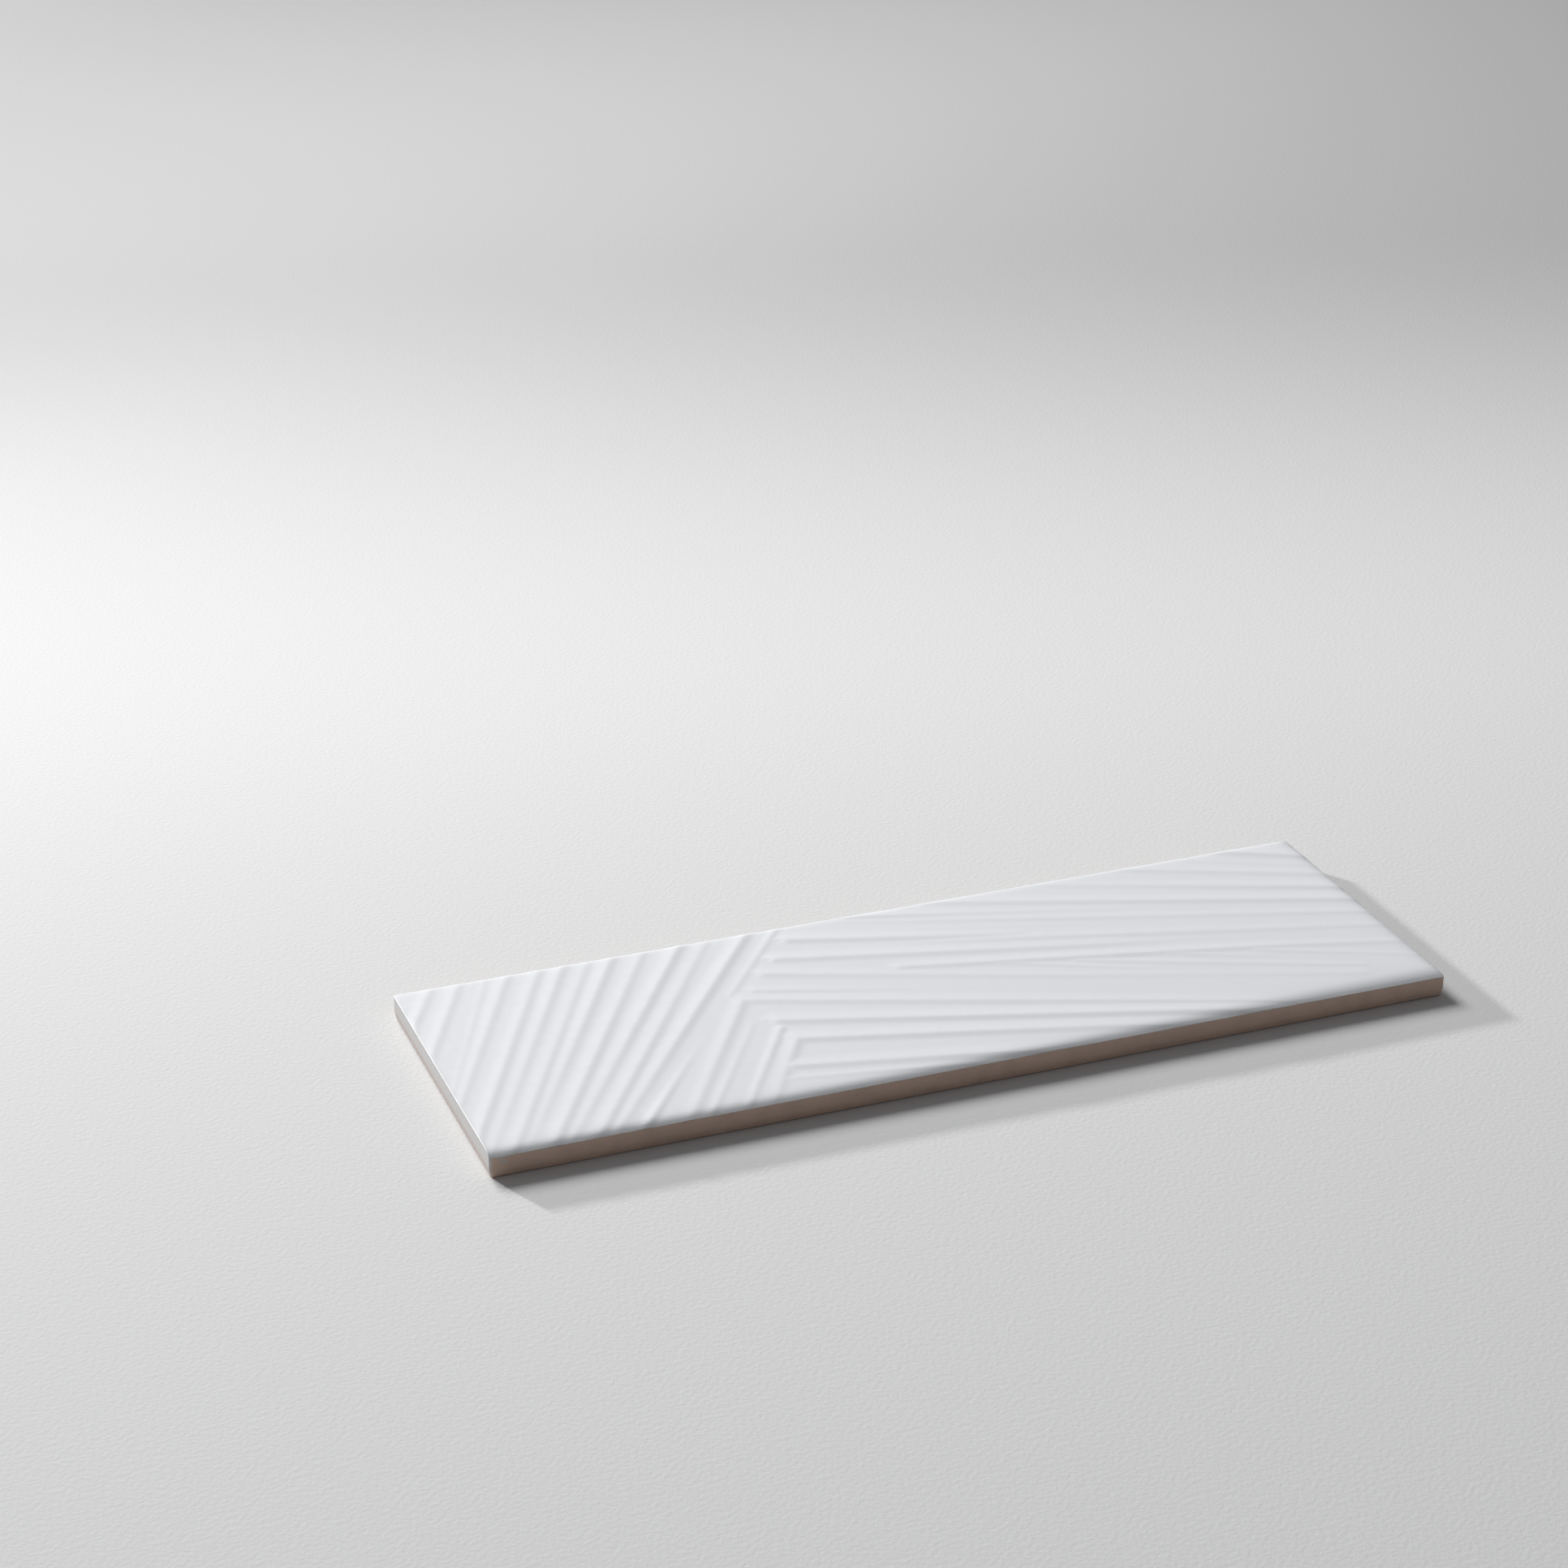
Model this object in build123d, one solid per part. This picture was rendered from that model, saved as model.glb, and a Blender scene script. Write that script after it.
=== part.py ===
from build123d import *
import os

# Overall sizes of the tile, in millimetres
tile_length = 300.0
tile_width = 100.0
tile_thickness = 8.0  # from the back to the top of the boldest ribs
corner_radius = 0.8

# Pressed sides: an upright land above, drawn in towards the back below
draft_height = 2.8
draft_setback = 0.5

# Glazed edges: a roll from the flat ground of the face down to the arris, which is broad along
# the front, narrower on the right, and tight on the left and along the back
broad_roll_run = 3.2
broad_roll_drop = 0.75
narrow_roll_run = 2.0
narrow_roll_drop = 0.45
tight_roll_run = 1.2
tight_roll_drop = 0.25
arris_radius = 0.3

# Relief: each rib is the crown of a round bar sunk in the face, and stands this high above it
rib_radius = 12.0
bold_crest = 0.30
plain_crest = 0.21
soft_crest = 0.14
faint_crest = 0.08
sunk_crest = -0.05  # where a rib has faded out, its crown lies this far under the ground
rib_root = 0.3  # how far below the shoulder the ribs reach into the body
crest_clearance = 0.04  # from the boldest crest up to the surface that trims the ribs
crest_setback = 0.5  # how much further in than the ground the crests start to roll off

# Keyed back: shallow pockets between the lines of a flat lattice
key_columns = 10
key_rows = 3
key_depth = 0.6
key_line = 3.0
key_border = 5.0
key_corner_radius = 1.5

# Left fan: where each rib crosses the back edge and the front edge, from the left corner, and how
# high it stands there. The ribs lean more the further along they start.
left_fan = [
    (11.5, -40.5, soft_crest, soft_crest),
    (20.5, -28.5, plain_crest, plain_crest),
    (28.5, -17.0, faint_crest, faint_crest),
    (36.0, -14.5, plain_crest, soft_crest),
    (45.5, -5.5, soft_crest, plain_crest),
    (53.5, 0.5, plain_crest, faint_crest),
    (60.5, 7.5, faint_crest, soft_crest),
    (69.0, 10.5, bold_crest, soft_crest),
    (78.5, 19.0, soft_crest, plain_crest),
    (91.0, 24.0, bold_crest, faint_crest),
    (99.0, 32.0, soft_crest, plain_crest),
    (114.0, 37.0, bold_crest, bold_crest),
]

# Ribs at the seam and in the right fan. Each has two or three points, from the front left corner,
# with the crest there, and two ends that run out through the tile's edge, stop in a nose, or sink
# under the ground or under another rib.
seam_ribs = [
    ("out", "sink", [(122.5, 100.0, soft_crest), (92.5, 61.5, sunk_crest)]),
    ("sink", "out", [(82.5, 48.0, sunk_crest), (52.0, 8.0, soft_crest)]),
    ("out", "out", [(64.0, 8.0, soft_crest), (97.0, 59.0, bold_crest), (231.0, 7.5, plain_crest)]),
    ("nose", "out", [(93.5, 44.0, faint_crest), (71.0, 9.0, soft_crest)]),
    ("nose", "out", [(101.5, 44.0, bold_crest), (209.0, 9.0, plain_crest)]),
    ("nose", "out", [(100.5, 39.5, plain_crest), (79.0, 5.0, soft_crest)]),
    ("out", "out", [(87.0, 5.0, soft_crest), (103.0, 31.5, bold_crest), (189.5, 7.0, plain_crest)]),
    ("nose", "out", [(96.0, 16.5, plain_crest), (139.0, 6.5, plain_crest)]),
    ("nose", "out", [(92.0, 10.0, faint_crest), (108.0, 7.0, faint_crest)]),
]
right_fan = [
    ("out", "out", [(272.0, 100.0, plain_crest), (298.0, 87.0, plain_crest)]),
    ("out", "out", [(257.5, 100.0, faint_crest), (298.0, 80.5, faint_crest)]),
    ("out", "out", [(236.0, 100.0, plain_crest), (297.0, 73.5, soft_crest)]),
    ("out", "out", [(204.0, 100.0, soft_crest), (297.0, 63.5, plain_crest)]),
    ("out", "out", [(168.0, 100.0, plain_crest), (297.0, 53.5, plain_crest)]),
    ("out", "sink", [(145.5, 100.0, soft_crest), (230.0, 72.5, sunk_crest)]),
    ("out", "out", [(133.0, 100.0, plain_crest), (290.0, 47.0, soft_crest)]),
    ("nose", "out", [(122.5, 90.5, bold_crest), (180.0, 70.0, plain_crest), (297.0, 34.0, soft_crest)]),
    ("nose", "sink", [(114.5, 80.0, plain_crest), (260.0, 41.5, sunk_crest)]),
    ("nose", "sink", [(107.5, 72.0, plain_crest), (180.0, 44.5, faint_crest), (277.0, 10.0, sunk_crest)]),
    ("nose", "sink", [(101.5, 64.5, soft_crest), (150.0, 47.5, sunk_crest)]),
    ("nose", "out", [(148.0, 63.5, soft_crest), (225.0, 43.5, plain_crest), (297.0, 21.5, soft_crest)]),
    ("sink", "sink", [(173.0, 57.0, faint_crest), (218.0, 36.5, sunk_crest)]),
    ("sink", "nose", [(197.0, 50.5, faint_crest), (279.0, 14.0, soft_crest)]),
    ("sink", "sink", [(228.0, 42.5, faint_crest), (256.0, 29.5, sunk_crest)]),
    ("sink", "out", [(254.0, 34.5, faint_crest), (297.0, 15.5, soft_crest)]),
]

ground_height = tile_thickness - bold_crest
run_out = tile_length + tile_width  # how far past the tile a rib's bar is drawn
left_edge = (tight_roll_run, tight_roll_drop)
right_edge = (narrow_roll_run, narrow_roll_drop)
front_edge = (broad_roll_run, broad_roll_drop)
back_edge = (tight_roll_run, tight_roll_drop)


def slab_section(span, top, first_run, first_side, last_run, last_side):
    """Section of a slab: a flat top, rolls at both ends, and sides down through (inset, height)."""
    half = span / 2
    first = [(inset - half, height) for inset, height in reversed(first_side)]
    last = [(half - inset, height) for inset, height in last_side]
    flat = Line((first_run - half, top), (half - last_run, top))
    first_roll = TangentArc(flat @ 0, first[-1], tangent=(-1, 0))
    last_roll = TangentArc(flat @ 1, last[0], tangent=(1, 0))
    return make_face([flat, first_roll, last_roll, Polyline(*last, *first)])


def crossed_slab(along, across):
    """The slab whose section is `along` on the tile's length and `across` on its width."""
    lengthwise = extrude(Plane.XZ * along, tile_width, both=True)
    crosswise = extrude(Plane.YZ * across, tile_length, both=True)
    return lengthwise & crosswise


def tile_section(span, first_edge, last_edge):
    """Section of the pressed body between two of its edges, with its arrises rounded."""
    sides = []
    for run, drop in (first_edge, last_edge):
        sides += [run, [(0, ground_height - drop), (0, draft_height), (draft_setback, 0)]]
    section = slab_section(span, ground_height, *sides)
    feet_then_land_then_arrises = section.vertices().sort_by(Axis.Y)
    return fillet(feet_then_land_then_arrises[4:6], arris_radius)


def crest_section(span, first_edge, last_edge):
    """Section of the surface that the ribs are trimmed to, a little above the highest crest."""
    inset = corner_radius / 2
    sides = []
    for run, drop in (first_edge, last_edge):
        shoulder = ground_height - drop
        sides += [run + crest_setback, [(inset, shoulder), (inset, shoulder - rib_root)]]
    return slab_section(span, tile_thickness + crest_clearance, *sides)


def bar_centre(x, y, crest):
    """Centre of a sunk bar at a point of the face, from the front left corner."""
    return Vector(x - tile_length / 2, y - tile_width / 2, ground_height + crest - rib_radius)


def run_on(start, end):
    """A point on the line from start through end, well outside the tile."""
    return end + (end - start).normalized() * run_out


def rib_bar(first_end, last_end, points):
    """The round bar under a rib, with a ball at each end that stops in a nose."""
    centres = [bar_centre(*point) for point in points]
    noses = [centre for end, centre in ((first_end, centres[0]), (last_end, centres[-1])) if end == "nose"]
    if first_end == "out":
        centres[0] = run_on(centres[1], centres[0])
    if last_end == "out":
        centres[-1] = run_on(centres[-2], centres[-1])
    start = Plane(centres[0], z_dir=centres[1] - centres[0])
    bar = sweep(start * Circle(rib_radius), Polyline(*centres), transition=Transition.RIGHT)
    for nose in noses:
        bar += Pos(nose) * Sphere(rib_radius)
    return bar


# Pressed body, with the corners of its plan rounded
outline = extrude(RectangleRounded(tile_length, tile_width, corner_radius), tile_thickness)
along_tile = tile_section(tile_length, left_edge, right_edge)
across_tile = tile_section(tile_width, front_edge, back_edge)
body = crossed_slab(along_tile, across_tile) & outline

# Ribs, trimmed to the rolled crest surface
bars = []
for back_station, front_station, back_crest, front_crest in left_fan:
    line = [(back_station, tile_width, back_crest), (front_station, 0, front_crest)]
    bars.append(rib_bar("out", "out", line))
for rib in seam_ribs + right_fan:
    bars.append(rib_bar(*rib))
along_crests = crest_section(tile_length, left_edge, right_edge)
across_crests = crest_section(tile_width, front_edge, back_edge)
crest_surface = crossed_slab(along_crests, across_crests)
ribs = [rib for rib in (bar & crest_surface for bar in bars) if rib]

# Pockets of the keyed back
key_pitch_x = (tile_length - 2 * key_border + key_line) / key_columns
key_pitch_y = (tile_width - 2 * key_border + key_line) / key_rows
pocket = RectangleRounded(key_pitch_x - key_line, key_pitch_y - key_line, key_corner_radius)
key_grid = GridLocations(key_pitch_x, key_pitch_y, key_columns, key_rows)
pockets = [extrude(place * pocket, key_depth) for place in key_grid]

wall_tile = body - pockets
for rib in ribs:
    wall_tile += rib

os.makedirs("parts", exist_ok=True)
export_step(wall_tile, "parts/wall_tile.step")
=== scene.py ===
import math
import random

import bmesh
import bpy
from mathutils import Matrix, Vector, noise as wander


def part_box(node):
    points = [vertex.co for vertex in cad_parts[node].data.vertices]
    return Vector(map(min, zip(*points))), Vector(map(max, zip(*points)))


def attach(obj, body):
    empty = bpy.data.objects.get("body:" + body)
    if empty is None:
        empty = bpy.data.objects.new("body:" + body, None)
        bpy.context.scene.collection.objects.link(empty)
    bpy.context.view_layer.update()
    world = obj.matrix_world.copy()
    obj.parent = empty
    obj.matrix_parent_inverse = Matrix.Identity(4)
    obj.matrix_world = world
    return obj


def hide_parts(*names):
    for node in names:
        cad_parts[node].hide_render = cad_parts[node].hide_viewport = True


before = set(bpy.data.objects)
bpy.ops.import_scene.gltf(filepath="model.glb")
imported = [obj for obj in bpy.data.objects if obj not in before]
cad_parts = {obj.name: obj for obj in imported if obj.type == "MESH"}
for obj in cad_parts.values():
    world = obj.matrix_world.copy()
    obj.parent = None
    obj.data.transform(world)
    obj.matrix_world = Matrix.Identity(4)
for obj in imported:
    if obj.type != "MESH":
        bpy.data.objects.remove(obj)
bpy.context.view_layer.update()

# Wall tile: one clay body, pressed dry in a die and fired once under a satin white glaze.
# The press leaves the fanned ribs, the drawn-in sides and the keyed back. The glaze softens the
# ribs, rolls over the edges of the face and stops in a thin lip above the bare clay sides.
mm = 0.001
low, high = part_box("wall_tile")
tile_length = high.x - low.x
tile_width = high.y - low.y
corner_radius = 0.8 * mm
least_corner_radius = 0.05 * mm
boldest_crest = 0.325 * mm
ground_height = high.z - boldest_crest

# Rolled glaze edges: how far the face falls to each edge, and how fast the fall dies out inwards.
# The front one is the broadest, and broader still towards the right. It ends in a thin glaze lip.
# The left edge is nearly straight: it stands up a little at the front, and falls at the back.
front_fall, front_reach, right_hand_reach = 1.1 * mm, 1.75 * mm, 2.2 * mm
right_fall, right_reach = 0.75 * mm, 1.4 * mm
back_fall, back_reach = 0.26 * mm, 1.0 * mm
left_fall, left_reach, left_turn = 0.1 * mm, 0.6 * mm, 1.3
lip_height, lip_reach, lip_at_left = 0.08 * mm, 0.25 * mm, 0.35
waver_height, waver_reach, waver_length = 0.07 * mm, 0.6 * mm, 4.0 * mm
arris_radius = 0.08 * mm
arris_turns = (35, 55, 72, 90)
roll_run = 3.0 * mm
roll_insets = (2.5, 2.1, 1.75, 1.45, 1.2, 1.0, 0.82, 0.66, 0.52, 0.4, 0.3, 0.21, 0.14)

# How much of the ribs' height is left at the arris and on top of the clay sides, and how far in
# from the edge, in millimetres, they start to fade
arris_press, land_press = 0.55, 0.25
press_run = 1.5

# Clay sides: an upright land, drawn in below it, with a small uneven broken edge at the foot
draft_height = 2.8 * mm
draft_setback = 0.5 * mm
foot_height = 0.18 * mm
foot_depth = 0.6 * mm
foot_unevenness = (0.6, 1.4)
land_shares = (0.06, 0.14, 0.25, 0.5, 0.75, 1.0)
draft_shares = (0.66, 0.33, 0.18)
foot_shares = (1.0, 0.35, 0.0)

# Keyed back: shallow pockets between the lines of a flat lattice. The steps are the inset and the
# depth of each ring of a pocket, in millimetres.
key_columns = 10
key_rows = 3
key_line = 3.0 * mm
key_border = 5.0 * mm
key_corner_radius = 1.5 * mm
pocket_steps = [(0.0, 0.0), (0.06, 0.08), (0.16, 0.30), (0.30, 0.54), (0.45, 0.60)]
corner_steps = 5

# Mesh spacing: close at the rolled corners, wider over the face
edge_step = 0.3 * mm
face_step = 0.72 * mm
step_growth = 1.2


def face_height(x, y):
    """Height of the face before the ribs, falling softly and a little unevenly to each edge."""
    front, back, left, right = y - low.y, high.y - y, x - low.x, high.x - x
    towards_right, towards_back = left / tile_length, front / tile_width
    reach = front_reach + (right_hand_reach - front_reach) * max(0.0, 2 * towards_right - 1)
    fall = math.hypot(
        front_fall * math.exp(-front / reach),
        right_fall * math.exp(-right / right_reach),
        back_fall * math.exp(-back / back_reach),
    )
    fall += left_fall * (left_turn * towards_back - 1.0) * math.exp(-left / left_reach)
    lip_share = lip_at_left + (1 - lip_at_left) * towards_right
    lip = lip_height * lip_share * math.exp(-front / lip_reach)
    waver = waver_height * wander.noise(Vector((x, y, 0.0)) / waver_length)
    waver *= math.exp(-min(front, back, left, right) / waver_reach)
    return ground_height - fall + lip + waver


def stations(half):
    """Grid stations from one edge of the flat ground to the other."""
    found = []
    at, step = half, edge_step
    while at > 0:
        found.append(at)
        at -= step
        step = min(step * step_growth, face_step)
    return sorted([-at for at in found] + found)


def round_corner(x, y, half_x, half_y, radius):
    """A point on the edge of a rectangle, moved on to the rounded corner where it is near one."""
    past_x = max(0.0, abs(x) - (half_x - radius)) / radius
    past_y = max(0.0, abs(y) - (half_y - radius)) / radius
    if past_x == 0.0 or past_y == 0.0:
        return x, y
    turn = math.radians(90 - 45 * past_x) if past_x <= past_y else math.radians(45 * past_y)
    corner_x = half_x - radius + radius * math.cos(turn)
    corner_y = half_y - radius + radius * math.sin(turn)
    return math.copysign(corner_x, x), math.copysign(corner_y, y)


flat_x = tile_length / 2 - roll_run
flat_y = tile_width / 2 - roll_run
columns = stations(flat_x)
rows = stations(flat_y)

bm = bmesh.new()
press_layer = bm.verts.layers.float.new("press")  # how much of the ribs' height is left
rise_layer = bm.verts.layers.float.new("rise")  # height above the foot of the arris
face_grid = [[bm.verts.new((x, y, face_height(x, y))) for x in columns] for y in rows]
for row in face_grid:
    for vert in row:
        vert[press_layer] = 1.0
        vert[rise_layer] = roll_run
for lower, upper in zip(face_grid, face_grid[1:]):
    for a, b, c, d in zip(lower, lower[1:], upper[1:], upper):
        bm.faces.new((a, b, c, d))

# Loops of points round the tile, each outside or below the last, from the face grid's own border
border = face_grid[0][:-1] + [row[-1] for row in face_grid[:-1]]
border += face_grid[-1][:0:-1] + [row[0] for row in face_grid[:0:-1]]


def add_loop(inner, inset, press, heights=None, rises=None):
    """A loop of points at an inset from the tile's outline, joined to the loop before it."""
    half_x = tile_length / 2 - inset
    half_y = tile_width / 2 - inset
    radius = max(corner_radius * (1 - inset / roll_run), least_corner_radius)
    outer = []
    for i, vert in enumerate(border):
        x, y = vert.co.x * half_x / flat_x, vert.co.y * half_y / flat_y
        x, y = round_corner(x, y, half_x, half_y, radius)
        height = heights[i] if heights else face_height(x, y)
        outer.append(bm.verts.new((x, y, height)))
        outer[-1][press_layer] = press
        outer[-1][rise_layer] = rises[i] if rises else inset + arris_radius
    for i, inner_vert in enumerate(inner):
        bm.faces.new((inner_vert, inner[i - 1], outer[i - 1], outer[i]))
    return outer


loop = border
for inset in roll_insets:
    press = arris_press + (1 - arris_press) * min(inset / press_run, 1.0)
    loop = add_loop(loop, inset * mm, press)
arris_top = [vert.co.z for vert in loop]
for degrees in arris_turns:
    turn = math.radians(degrees)
    down = arris_radius * (1 - math.cos(turn))
    inset = arris_radius * (1 - math.sin(turn))
    heights = [top - down for top in arris_top]
    press = arris_press - (arris_press - land_press) * degrees / 90
    loop = add_loop(loop, inset, press, heights, [arris_radius - down] * len(border))
land_top = [vert.co.z for vert in loop]


def below_land(heights):
    """How far each point of a loop lies below the foot of the arris, as a negative rise."""
    return [height - top for height, top in zip(heights, land_top)]


for share in land_shares:
    heights = [top + (draft_height - top) * share for top in land_top]
    loop = add_loop(loop, 0.0, max(0.0, land_press - share), heights, below_land(heights))
for share in draft_shares:
    heights = [draft_height * share] * len(border)
    loop = add_loop(loop, draft_setback * (1 - share), 0.0, heights, below_land(heights))
nicks = random.Random(4)
for foot in foot_shares:
    inset = draft_setback + foot_depth * (1 - foot)
    heights = [foot_height * foot * nicks.uniform(*foot_unevenness) if foot else 0.0 for _ in border]
    loop = add_loop(loop, inset, 0.0, heights, below_land(heights))
for face in bm.faces:
    face.smooth = True


def loop_edges(verts):
    """The edges of a closed loop of points, made where they aren't there yet."""
    pairs = zip(verts, verts[1:] + verts[:1])
    return [bm.edges.get(pair) or bm.edges.new(pair) for pair in pairs]


# Pockets of the keyed back: soft rims, drafted walls and flat floors
back_edges = loop_edges(loop)
pitch_x = (tile_length - 2 * key_border + key_line) / key_columns
pitch_y = (tile_width - 2 * key_border + key_line) / key_rows
for column in range(key_columns):
    for row in range(key_rows):
        centre_x = (column - (key_columns - 1) / 2) * pitch_x
        centre_y = (row - (key_rows - 1) / 2) * pitch_y
        rim = None
        for inset, depth in pocket_steps:
            half_x = (pitch_x - key_line) / 2 - inset * mm
            half_y = (pitch_y - key_line) / 2 - inset * mm
            radius = key_corner_radius - inset * mm
            ring = []
            for quarter in range(4):
                side_x = 1 if quarter in (0, 3) else -1
                side_y = 1 if quarter in (0, 1) else -1
                for step in range(corner_steps + 1):
                    turn = math.radians(90 * (quarter + step / corner_steps))
                    x = centre_x + side_x * (half_x - radius) + radius * math.cos(turn)
                    y = centre_y + side_y * (half_y - radius) + radius * math.sin(turn)
                    ring.append(bm.verts.new((x, y, depth * mm)))
                    ring[-1][rise_layer] = -ground_height
            if rim is None:
                back_edges += loop_edges(ring)
            else:
                for i, vert in enumerate(ring):
                    bm.faces.new((vert, ring[i - 1], rim[i - 1], rim[i])).smooth = True
            rim = ring
        bm.faces.new(rim)
bmesh.ops.triangle_fill(bm, edges=back_edges, use_beauty=True)
bmesh.ops.recalc_face_normals(bm, faces=bm.faces)
blank = bpy.data.meshes.new("pressed_blank")
bm.to_mesh(blank)
bm.free()
tile = bpy.data.objects.new("ribbed_tile", blank)
bpy.context.scene.collection.objects.link(tile)

# Ribs of the relief: narrow brows between shallow flutes, which the die leaves in the face.
# Each runs along a line of points (x, y, crest), in millimetres from the tile's front left
# corner, and ends in a nose or runs out over the edge.
brow_radius = 0.6 * mm
valley_softness = 0.06 * mm
run_out = 40 * mm  # how far past the edge a rib's line is drawn
even = (4.2, 6.5)  # widths of the two flanks, on the right hand of the line and on the left
broad = (4.4, 8.5)
narrow = (3.0, 4.0)
ribs = [
    ("out", "out", even, [(-40.5, 0.0, 0.14), (11.5, 100.0, 0.14)]),
    ("out", "out", even, [(-28.8, 0.0, 0.14), (20.2, 100.0, 0.14)]),
    ("out", "out", narrow, [(-15.8, 0.0, 0.02), (28.6, 100.0, 0.05)]),
    ("out", "out", even, [(-14.3, 0.0, 0.05), (35.3, 100.0, 0.17)]),
    ("out", "out", even, [(-5.3, 0.0, 0.16), (45.2, 100.0, 0.14)]),
    ("out", "out", even, [(0.4, 0.0, 0.03), (52.9, 100.0, 0.19)]),
    ("out", "out", even, [(7.2, 0.0, 0.12), (34.1, 50.0, 0.13), (60.8, 100.0, 0.09)]),
    ("out", "out", even, [(11.5, 0.0, 0.01), (47.0, 62.3, 0.18), (68.5, 100.0, 0.24)]),
    ("out", "out", even, [(18.9, 0.0, 0.16), (48.7, 50.0, 0.20), (78.5, 100.0, 0.15)]),
    ("out", "out", even, [(24.0, 0.0, 0.05), (63.8, 60.0, 0.22), (90.3, 100.0, 0.29)]),
    ("out", "out", even, [(32.0, 0.0, 0.18), (65.7, 50.0, 0.19), (99.2, 100.0, 0.10)]),
    ("out", "out", even, [(37.1, 0.0, 0.08), (74.6, 50.0, 0.25), (112.2, 100.0, 0.30)]),
    ("nose", "out", narrow, [(93.8, 63.7, 0.08), (122.2, 100.0, 0.15)]),
    ("out", "nose", narrow, [(51.8, 8.0, 0.20), (82.3, 48.0, -0.05)]),
    ("out", "nose", even, [(64.0, 8.0, 0.14), (96.2, 59.5, 0.22)]),
    ("nose", "out", broad, [(96.2, 59.5, 0.21), (162.6, 34.3, 0.20), (231.3, 7.9, 0.15)]),
    ("out", "nose", narrow, [(71.0, 9.0, 0.10), (93.5, 44.0, 0.06)]),
    ("nose", "out", broad, [(101.6, 44.0, 0.27), (155.0, 26.6, 0.31), (209.1, 9.1, 0.30)]),
    ("out", "nose", narrow, [(79.2, 5.0, 0.12), (100.7, 39.4, 0.18)]),
    ("out", "nose", even, [(86.8, 5.0, 0.09), (102.8, 31.7, 0.26)]),
    ("nose", "out", broad, [(102.8, 31.7, 0.30), (142.0, 20.4, 0.31), (189.5, 6.8, 0.22)]),
    ("nose", "out", broad, [(96.2, 17.0, 0.25), (139.2, 7.0, 0.25)]),
    ("nose", "out", narrow, [(92.0, 10.5, 0.08), (108.0, 7.5, 0.08)]),
    ("out", "out", broad, [(272.6, 101.0, 0.28), (298.6, 88.1, 0.28)]),
    ("out", "out", narrow, [(257.5, 100.0, 0.04), (298.0, 80.5, 0.04)]),
    ("out", "out", broad, [(236.4, 100.9, 0.17), (297.4, 74.3, 0.15)]),
    ("out", "out", broad, [(204.5, 101.0, 0.06), (297.5, 64.5, 0.24)]),
    ("out", "out", broad, [(168.5, 101.4, 0.16), (297.6, 55.1, 0.23)]),
    ("out", "nose", even, [(145.0, 100.0, 0.20), (190.0, 86.1, 0.08), (230.0, 73.7, 0.02)]),
    ("out", "out", even, [(133.0, 100.2, 0.03), (205.0, 76.1, 0.11), (290.3, 48.1, 0.11)]),
    ("nose", "nose", narrow, [(138.0, 92.0, -0.02), (165.0, 83.1, 0.05), (212.0, 69.6, 0.01)]),
    ("nose", "nose", broad, [(122.8, 91.3, 0.28), (160.0, 79.5, 0.22), (192.0, 70.0, 0.06)]),
    ("nose", "nose", broad, [(140.0, 80.5, -0.03), (173.0, 71.8, 0.08), (197.0, 65.6, 0.13)]),
    ("nose", "nose", broad, [(197.0, 65.6, 0.13), (221.5, 58.2, 0.14), (248.5, 50.2, 0.12)]),
    ("nose", "out", broad, [(248.5, 50.2, 0.12), (297.4, 36.0, 0.09)]),
    ("nose", "nose", broad, [(114.6, 80.8, 0.26), (151.0, 70.8, 0.23), (187.0, 61.1, 0.17)]),
    ("nose", "nose", broad, [(187.0, 61.1, 0.17), (210.0, 55.0, 0.14), (246.0, 46.2, -0.03)]),
    ("nose", "nose", broad, [(107.9, 73.0, 0.21), (150.0, 56.6, 0.13), (191.8, 40.1, 0.11)]),
    ("nose", "nose", broad, [(191.8, 40.1, 0.11), (234.0, 24.8, 0.06), (277.0, 9.3, 0.07)]),
    ("nose", "nose", even, [(101.5, 64.1, 0.16), (150.0, 47.0, 0.0)]),
    ("nose", "out", even, [
        (148.0, 62.7, 0.18), (212.5, 46.9, 0.22), (260.1, 35.0, 0.16), (297.0, 24.3, 0.11)]),
    ("nose", "nose", narrow, [(173.0, 56.5, 0.12), (217.5, 35.3, 0.05)]),
    ("nose", "nose", narrow, [(200.0, 47.5, 0.10), (237.5, 31.6, 0.10), (280.0, 14.0, 0.07)]),
    ("nose", "nose", narrow, [(228.0, 41.7, 0.12), (256.0, 29.0, 0.03)]),
    ("nose", "out", narrow, [(254.0, 34.5, 0.10), (297.4, 14.7, 0.06)]),
]

rib_starts, rib_ends, rib_crests, rib_flanks = [], [], [], []
for first_end, last_end, flanks, points in ribs:
    line = [Vector((x * mm + low.x, y * mm + low.y, crest * mm)) for x, y, crest in points]
    if first_end == "out":
        line[0] += (line[0] - line[1]).normalized() * run_out
    if last_end == "out":
        line[-1] += (line[-1] - line[-2]).normalized() * run_out
    for start, end in zip(line, line[1:]):
        rib_starts.append((start.x, start.y, 0.0))
        rib_ends.append((end.x, end.y, 0.0))
        rib_crests.append((start.z, end.z, 0.0))
        rib_flanks.append((flanks[0] * mm, flanks[1] * mm, 0.0))
rib_mesh = bpy.data.meshes.new("rib_lines")
rib_mesh.from_pydata(rib_starts, [], [])
for name, values in (("end", rib_ends), ("crest", rib_crests), ("flank", rib_flanks)):
    attribute = rib_mesh.attributes.new(name, "FLOAT_VECTOR", "POINT")
    attribute.data.foreach_set("vector", [part for value in values for part in value])
rib_lines = bpy.data.objects.new("rib_lines", rib_mesh)
bpy.context.scene.collection.objects.link(rib_lines)


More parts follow.
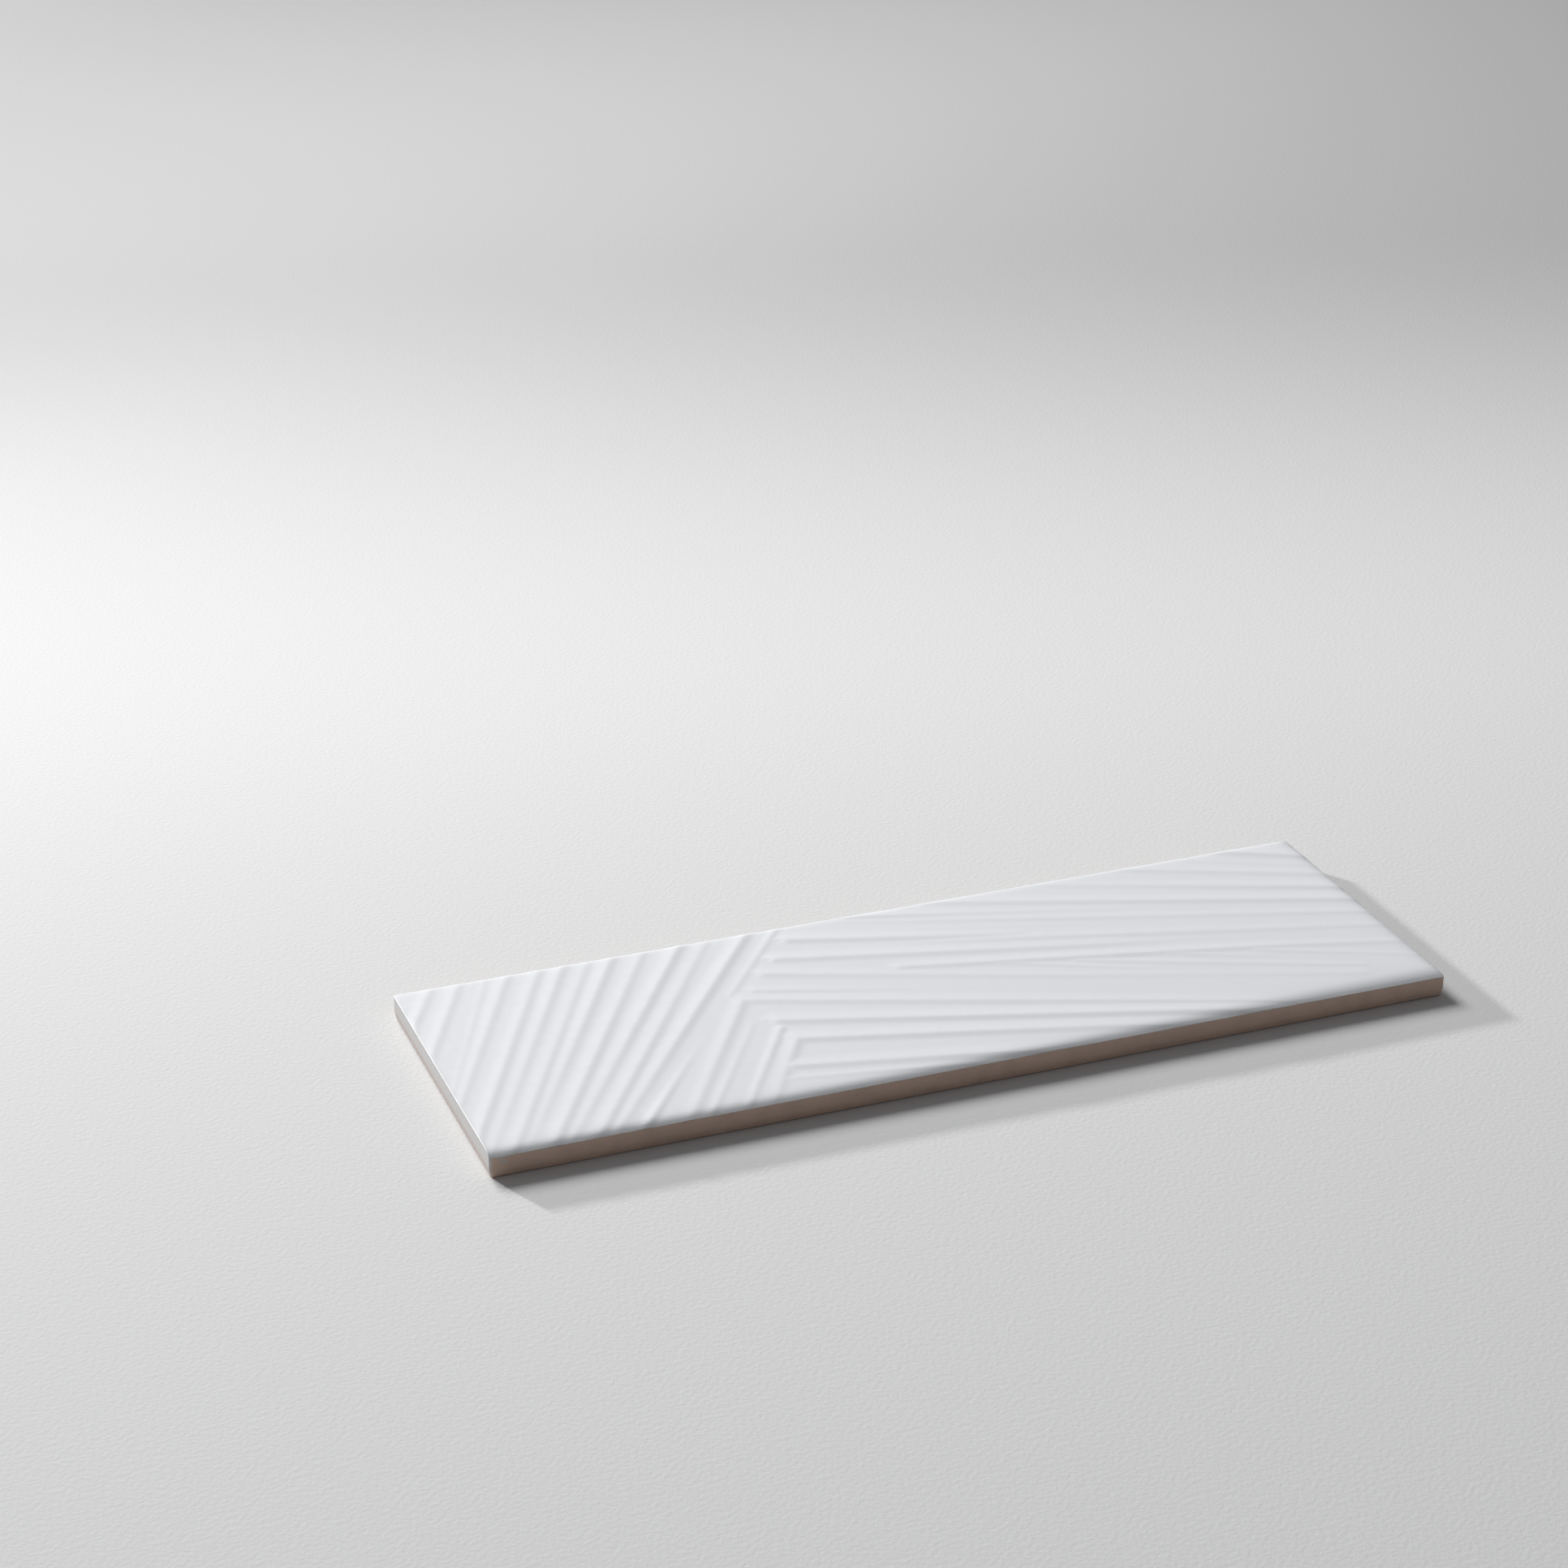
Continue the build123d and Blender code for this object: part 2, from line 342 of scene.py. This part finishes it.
def add_node(tree, kind, inputs, **settings):
    """A node with its settings, and its inputs set to values or linked from other sockets."""
    node = tree.nodes.new(kind)
    for name, value in settings.items():
        setattr(node, name, value)
    for key, value in inputs.items():
        if isinstance(value, bpy.types.NodeSocket):
            tree.links.new(value, node.inputs[key])
        else:
            node.inputs[key].default_value = value
    return node


def math_node(tree, operation, *values):
    """The result of a math node on values or sockets."""
    return add_node(tree, "ShaderNodeMath", dict(enumerate(values)), operation=operation).outputs[0]


def mix_node(tree, share, first, last):
    """A number between two others, by a share from 0 to 1."""
    return add_node(tree, "ShaderNodeMix", {0: share, 2: first, 3: last}).outputs[0]


def vector_node(tree, operation, output, *values):
    """One result of a vector math node on values or sockets."""
    node = add_node(tree, "ShaderNodeVectorMath", dict(enumerate(values)), operation=operation)
    return node.outputs[output]


press_tree = bpy.data.node_groups.new("press_ribs", "GeometryNodeTree")
sockets = press_tree.interface
sockets.new_socket("Geometry", in_out="INPUT", socket_type="NodeSocketGeometry")
rib_lines_input = sockets.new_socket("Rib lines", in_out="INPUT", socket_type="NodeSocketObject")
rib_count_input = sockets.new_socket("Number of ribs", in_out="INPUT", socket_type="NodeSocketInt")
soft_input = sockets.new_socket("Valley softness", in_out="INPUT", socket_type="NodeSocketFloat")
brow_input = sockets.new_socket("Brow radius", in_out="INPUT", socket_type="NodeSocketFloat")
glaze_input = sockets.new_socket("Finish", in_out="INPUT", socket_type="NodeSocketMaterial")
sockets.new_socket("Geometry", in_out="OUTPUT", socket_type="NodeSocketGeometry")
group_in = press_tree.nodes.new("NodeGroupInput")
group_out = press_tree.nodes.new("NodeGroupOutput")

lines = add_node(press_tree, "GeometryNodeObjectInfo", {"Object": group_in.outputs["Rib lines"]})
ground = add_node(
    press_tree, "GeometryNodeStoreNamedAttribute",
    {"Geometry": group_in.outputs["Geometry"], "Name": "relief", "Value": 0.0}, data_type="FLOAT",
)
repeat_in = press_tree.nodes.new("GeometryNodeRepeatInput")
repeat_out = press_tree.nodes.new("GeometryNodeRepeatOutput")
repeat_in.pair_with_output(repeat_out)
press_tree.links.new(group_in.outputs["Number of ribs"], repeat_in.inputs["Iterations"])
press_tree.links.new(ground.outputs["Geometry"], repeat_in.inputs["Geometry"])


def of_rib(value_socket):
    """A value of the rib that the repeat is at."""
    node = add_node(
        press_tree, "GeometryNodeSampleIndex",
        {"Geometry": lines.outputs["Geometry"]}, data_type="FLOAT_VECTOR",
    )
    press_tree.links.new(value_socket, node.inputs["Value"])
    press_tree.links.new(repeat_in.outputs["Iteration"], node.inputs["Index"])
    return node.outputs["Value"]


def named(name, kind):
    """A named attribute of the geometry."""
    node = add_node(press_tree, "GeometryNodeInputNamedAttribute", {"Name": name}, data_type=kind)
    return node.outputs[0]


position = press_tree.nodes.new("GeometryNodeInputPosition").outputs[0]
plan = vector_node(press_tree, "MULTIPLY", 0, position, (1.0, 1.0, 0.0))
start = of_rib(position)
along = vector_node(press_tree, "SUBTRACT", 0, of_rib(named("end", "FLOAT_VECTOR")), start)
reach = vector_node(press_tree, "SUBTRACT", 0, plan, start)
share = add_node(press_tree, "ShaderNodeMath", {
    0: vector_node(press_tree, "DOT_PRODUCT", 1, reach, along),
    1: vector_node(press_tree, "DOT_PRODUCT", 1, along, along),
}, operation="DIVIDE", use_clamp=True).outputs[0]
on_line = add_node(press_tree, "ShaderNodeVectorMath", {0: along, "Scale": share}, operation="SCALE")
away = vector_node(press_tree, "DISTANCE", 1, reach, on_line.outputs[0])
turn = vector_node(press_tree, "CROSS_PRODUCT", 0, along, reach)
turn_sizes = add_node(press_tree, "ShaderNodeSeparateXYZ", {0: turn})
left_hand = math_node(press_tree, "GREATER_THAN", turn_sizes.outputs[2], 0.0)
rib_flank = of_rib(named("flank", "FLOAT_VECTOR"))
flank_sizes = add_node(press_tree, "ShaderNodeSeparateXYZ", {0: rib_flank})
flank = mix_node(press_tree, left_hand, flank_sizes.outputs[0], flank_sizes.outputs[1])
rib_crest = of_rib(named("crest", "FLOAT_VECTOR"))
crest_sizes = add_node(press_tree, "ShaderNodeSeparateXYZ", {0: rib_crest})
crest = mix_node(press_tree, share, crest_sizes.outputs[0], crest_sizes.outputs[1])
brow = group_in.outputs["Brow radius"]
away_squared = math_node(press_tree, "MULTIPLY", away, away)
spread = math_node(press_tree, "MULTIPLY_ADD", brow, brow, away_squared)
rounded = math_node(press_tree, "SUBTRACT", math_node(press_tree, "SQRT", spread), brow)
across = math_node(press_tree, "MINIMUM", math_node(press_tree, "DIVIDE", rounded, flank), 1.0)
slack = math_node(press_tree, "SUBTRACT", 1.0, across)
bell = math_node(press_tree, "MULTIPLY", slack, slack)
softness = group_in.outputs["Valley softness"]
swell = math_node(press_tree, "MULTIPLY", math_node(press_tree, "ADD", crest, softness), bell)
rib_height = math_node(press_tree, "SUBTRACT", swell, softness)
relief = math_node(press_tree, "SMOOTH_MAX", named("relief", "FLOAT"), rib_height, softness)
pressed = add_node(
    press_tree, "GeometryNodeStoreNamedAttribute",
    {"Geometry": repeat_in.outputs["Geometry"], "Name": "relief", "Value": relief}, data_type="FLOAT",
)
press_tree.links.new(pressed.outputs["Geometry"], repeat_out.inputs["Geometry"])

lift = math_node(press_tree, "MULTIPLY", named("relief", "FLOAT"), named("press", "FLOAT"))
raised = add_node(press_tree, "GeometryNodeSetPosition", {
    "Geometry": repeat_out.outputs["Geometry"],
    "Offset": add_node(press_tree, "ShaderNodeCombineXYZ", {2: lift}).outputs[0],
})
real = add_node(press_tree, "GeometryNodeRealizeInstances", {"Geometry": raised.outputs["Geometry"]})
finished = add_node(press_tree, "GeometryNodeSetMaterial", {
    "Geometry": real.outputs["Geometry"], "Material": group_in.outputs["Finish"],
})
press_tree.links.new(finished.outputs["Geometry"], group_out.inputs["Geometry"])

# Finish: satin glaze down to just below the arris, bare biscuit clay under it and on the back.
# The glaze is painted greyer over the front roll, painted shade of a roll that faces away from the
# lamps. On the left side a dusting of it greys the clay, more so above the drawn-in foot.
# Towards the back the clay is painted darker, painted shade that holds down the lamps' light there.
glaze_white = (0.716, 0.725, 0.745, 1.0)
# The next grey is painted shade for the front roll, which faces away from the lamps.
glaze_painted_shade = (0.60, 0.608, 0.625, 1.0)
pinhole_grey = (0.22, 0.21, 0.20, 1.0)
clay_brown = (0.67, 0.50, 0.405, 1.0)
# The next brown is painted shade for the back of the clay, which faces the lamps.
clay_painted_shade = (0.38, 0.285, 0.232, 1.0)
clay_dark = (0.20, 0.14, 0.11, 1.0)
dusted_foot = (0.50, 0.446, 0.424, 1.0)
dusted_land = (0.51, 0.515, 0.515, 1.0)
painted_shade_run = (1.0 * mm, 4.5 * mm)  # from the front edge: where the painted shade is deepest, and gone again
painted_shade_run_right = 0.62  # towards the right the painted shade reaches further in
pinhole_scale, pinhole_size, pinhole_share = 45, 0.16 * mm, 0.16
glaze_overrun = 0.04 * mm
line_softness = 0.03 * mm
ragged_scale, ragged_left, ragged_right = 1100, 0.14 * mm, 0.36 * mm
wave_scale, wave_height = 90, 0.24 * mm
grain_scale, grain_tone, grain_depth, grain_strength = 2600, 0.22, 0.08 * mm, 0.4
cloud_scale, cloud_tone = 140, 0.12
speck_scale, speck_size, speck_share = 420, 0.22 * mm, 0.35
dust_reach = (0.55 * mm, 0.75 * mm)  # in from the left side
dust_line = (2.7 * mm, 3.6 * mm)  # heights between the foot's dust and the land's
smear_place = (low.x + 4 * mm, low.y, 5.5 * mm)
smear_reach, smear_cover, smear_scale = (0.8 * mm, 2.4 * mm), 0.6, 700
sheen_scale, glaze_roughness, clay_roughness = 260, (0.36, 0.42), 0.92
peel_scale, peel_share = 220, 0.05

finish = bpy.data.materials.new("glazed_clay")
finish.use_nodes = True
tree = finish.node_tree
shader = tree.nodes["Principled BSDF"]
place = tree.nodes.new("ShaderNodeTexCoord").outputs["Object"]
axes = add_node(tree, "ShaderNodeSeparateXYZ", {0: place})
rise = add_node(tree, "ShaderNodeAttribute", {}, attribute_name="rise").outputs["Fac"]


# The next four add nodes to the material whose tree is in hand: the tile's here, the floor's later
def noise(scale, detail):
    """Soft noise from 0 to 1 on the piece's own coordinates."""
    node = add_node(tree, "ShaderNodeTexNoise", {"Vector": place, "Scale": scale, "Detail": detail})
    return node.outputs[0]


def ramp(value, start, end, first, last):
    """A smooth step of a value from one level to another."""
    node = add_node(
        tree, "ShaderNodeMapRange", {0: value, 1: start, 2: end, 3: first, 4: last},
        interpolation_type="SMOOTHSTEP",
    )
    return node.outputs[0]


def blend(share, first, last):
    """One colour laid over another by a share from 0 to 1."""
    return add_node(tree, "ShaderNodeMix", {0: share, 6: first, 7: last}, data_type="RGBA").outputs[2]


def dots(scale, size, kept):
    """Scattered round dots of a size in metres, in the share of cells that is kept."""
    cells = add_node(tree, "ShaderNodeTexVoronoi", {"Vector": place, "Scale": scale})
    chosen = math_node(tree, "LESS_THAN", cells.outputs["Color"], kept)
    shape = ramp(cells.outputs["Distance"], 0.5 * size * scale, size * scale, 1.0, 0.0)
    return math_node(tree, "MULTIPLY", chosen, shape)


raggedness = ramp(axes.outputs[0], 0.0, high.x, ragged_left, ragged_right)
ragged_noise = math_node(tree, "SUBTRACT", noise(ragged_scale, 2), 0.5)
ragged = math_node(tree, "MULTIPLY", raggedness, ragged_noise)
wavy = math_node(tree, "MULTIPLY_ADD", noise(wave_scale, 1), wave_height, -wave_height / 2)
glaze_line = math_node(tree, "ADD", rise, math_node(tree, "ADD", ragged, wavy))
glazed = ramp(glaze_line, -glaze_overrun - line_softness, -glaze_overrun + line_softness, 0.0, 1.0)

grain = noise(grain_scale, 4)
# Painted shade: the clay darkens from the middle towards the back, against the lamps' light on the
# back side.
biscuit = blend(ramp(axes.outputs[1], 0.0, high.y, 0.0, 1.0), clay_brown, clay_painted_shade)
clay = blend(ramp(grain, 0.35, 0.75, 0.0, grain_tone), biscuit, clay_dark)
clay = blend(ramp(noise(cloud_scale, 2), 0.35, 0.7, 0.0, cloud_tone), clay, clay_dark)
clay = blend(dots(speck_scale, speck_size, speck_share), clay, clay_dark)
left_side = ramp(axes.outputs[0], low.x + dust_reach[0], low.x + dust_reach[1], 1.0, 0.0)
dust = blend(ramp(axes.outputs[2], *dust_line, 0.0, 1.0), dusted_foot, dusted_land)
dusting = math_node(tree, "MULTIPLY", left_side, ramp(grain, 0.2, 0.8, 1.0, 0.8))
clay = blend(dusting, clay, dust)
smear_away = vector_node(tree, "DISTANCE", 1, place, smear_place)
smear_shape = ramp(smear_away, *smear_reach, smear_cover, 0.0)
smear_breaks = ramp(noise(smear_scale, 2), 0.4, 0.6, 0.0, 1.0)
clay = blend(math_node(tree, "MULTIPLY", smear_shape, smear_breaks), clay, dusted_land)

# Painted shade: the glaze greys towards the front edge, over the roll that faces away from the lamps.
front = math_node(tree, "SUBTRACT", axes.outputs[1], low.y)
front = math_node(tree, "MULTIPLY", front, ramp(axes.outputs[0], 0.0, high.x, 1.0, painted_shade_run_right))
glaze = blend(ramp(front, *painted_shade_run, 1.0, 0.0), glaze_white, glaze_painted_shade)
glaze = blend(dots(pinhole_scale, pinhole_size, pinhole_share), glaze, pinhole_grey)
tree.links.new(blend(glazed, clay, glaze), shader.inputs["Base Color"])
glaze_sheen = ramp(noise(sheen_scale, 3), 0.3, 0.7, *glaze_roughness)
tree.links.new(mix_node(tree, glazed, clay_roughness, glaze_sheen), shader.inputs["Roughness"])
shader.inputs["Specular IOR Level"].default_value = 0.35
orange_peel = math_node(tree, "MULTIPLY", noise(peel_scale, 2), peel_share)
bump = add_node(tree, "ShaderNodeBump", {
    "Height": mix_node(tree, glazed, grain, orange_peel),
    "Distance": grain_depth, "Strength": grain_strength,
})
tree.links.new(bump.outputs["Normal"], shader.inputs["Normal"])

press = tile.modifiers.new("press_ribs", "NODES")
press.node_group = press_tree
press[rib_lines_input.identifier] = rib_lines
press[rib_count_input.identifier] = len(rib_starts)
press[soft_input.identifier] = valley_softness
press[brow_input.identifier] = brow_radius
press[glaze_input.identifier] = finish
evaluated = tile.evaluated_get(bpy.context.evaluated_depsgraph_get())
pressed_mesh = bpy.data.meshes.new_from_object(evaluated)
pressed_mesh.name = "ribbed_tile"
tile.modifiers.remove(press)
tile.data = pressed_mesh
bpy.data.objects.remove(rib_lines)
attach(tile, "root")
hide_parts("wall_tile")

# Floor: a wide sheet of matt pale paper that the tile lies on, with a fine tooth.
# Its colour is painted darker behind the tile, and more so at the back left, where it is nearer to
# the lamps: painted shade for the light's fall-off and against the lamps' pool of light.
paper_near = (0.66, 0.66, 0.657, 1.0)
paper_far_painted_shade = (0.355, 0.355, 0.353, 1.0)
paper_painted_lamp_shade = (0.21, 0.21, 0.209, 1.0)
far_lean, far_run = 0.25, (0.2, 0.85)  # how far the painted shade bands lean, and where they start and end
lamps_lean, lamps_run = -0.6, (0.65, 1.6)
tooth_scale, tooth_height, tooth_strength = 700, 0.3 * mm, 0.3
floor_size = 30.0
floor_mesh = bpy.data.meshes.new("paper_floor")
half = floor_size / 2
floor_corners = [(-half, -half, 0), (half, -half, 0), (half, half, 0), (-half, half, 0)]
floor_mesh.from_pydata(floor_corners, [], [(0, 1, 2, 3)])
floor = bpy.data.objects.new("paper_floor", floor_mesh)
bpy.context.scene.collection.objects.link(floor)
paper = bpy.data.materials.new("matt_paper")
paper.use_nodes = True
tree = paper.node_tree
paper_shader = tree.nodes["Principled BSDF"]
paper_shader.inputs["Roughness"].default_value = 0.95
paper_shader.inputs["Specular IOR Level"].default_value = 0.2
place = tree.nodes.new("ShaderNodeTexCoord").outputs["Object"]
paper_axes = add_node(tree, "ShaderNodeSeparateXYZ", {0: place})
to_lamps = math_node(tree, "MULTIPLY_ADD", paper_axes.outputs[0], lamps_lean, paper_axes.outputs[1])
to_back = math_node(tree, "MULTIPLY_ADD", paper_axes.outputs[0], far_lean, paper_axes.outputs[1])
# Painted shade: the paper darkens behind the tile, and more so towards the lamps.
paper_tone = blend(ramp(to_back, *far_run, 0.0, 1.0), paper_near, paper_far_painted_shade)
paper_tone = blend(ramp(to_lamps, *lamps_run, 0.0, 1.0), paper_tone, paper_painted_lamp_shade)
tree.links.new(paper_tone, paper_shader.inputs["Base Color"])
paper_bump = add_node(tree, "ShaderNodeBump", {
    "Height": noise(tooth_scale, 3), "Distance": tooth_height, "Strength": tooth_strength,
})
tree.links.new(paper_bump.outputs["Normal"], paper_shader.inputs["Normal"])
floor_mesh.materials.append(paper)

# Light: a low hard lamp and a high broad one at the back left, and a weak fill from all round, which
# is weaker from the front. Each lamp has its name, its azimuth and elevation in degrees, its
# distance in metres, its width in degrees as seen from the tile, and its light.
lamps = [("low_lamp", 118.0, 15.8, 2.6, 4.0, 3.1), ("broad_lamp", 105.0, 38.5, 2.6, 25.0, 3.02)]
for name, azimuth, elevation, distance, spread, strength in lamps:
    lamp = bpy.data.lights.new(name, "AREA")
    lamp.shape = "DISK"
    lamp.size = 2 * distance * math.tan(math.radians(spread / 2))
    lamp.energy = strength * math.pi * distance**2
    light = bpy.data.objects.new(name, lamp)
    azimuth, elevation = math.radians(azimuth), math.radians(elevation)
    towards = Vector((
        math.cos(elevation) * math.cos(azimuth),
        math.cos(elevation) * math.sin(azimuth),
        math.sin(elevation),
    ))
    light.location = towards * distance
    light.rotation_euler = towards.to_track_quat("Z", "Y").to_euler()
    light.visible_camera = False
    bpy.context.scene.collection.objects.link(light)
fill_front, fill_back = 0.12, 0.24
world = bpy.data.worlds.new("studio")
world.use_nodes = True
tree = world.node_tree
fill = tree.nodes["Background"]
fill.inputs["Color"].default_value = (0.98, 0.99, 1.02, 1.0)
sky = tree.nodes.new("ShaderNodeTexCoord").outputs["Generated"]
sky_axes = add_node(tree, "ShaderNodeSeparateXYZ", {0: sky})
tree.links.new(ramp(sky_axes.outputs[1], -1.0, 1.0, fill_front, fill_back), fill.inputs["Strength"])
bpy.context.scene.world = world

# Camera: a long lens from the front left, a little above the tile.
lens = 81.206
camera_azimuth = math.radians(-20.944)
camera_elevation = math.radians(24.641)
camera_place = Vector((-0.37425, -0.86195, 0.50427))
camera_data = bpy.data.cameras.new("camera")
camera_data.lens = lens
camera_data.sensor_width = 36.0
camera = bpy.data.objects.new("camera", camera_data)
back = Vector((
    math.sin(camera_azimuth) * math.cos(camera_elevation),
    -math.cos(camera_azimuth) * math.cos(camera_elevation),
    math.sin(camera_elevation),
))
camera.location = camera_place
camera.rotation_euler = back.to_track_quat("Z", "Y").to_euler()
bpy.context.scene.collection.objects.link(camera)
bpy.context.scene.camera = camera
bpy.context.scene.view_settings.view_transform = "Standard"
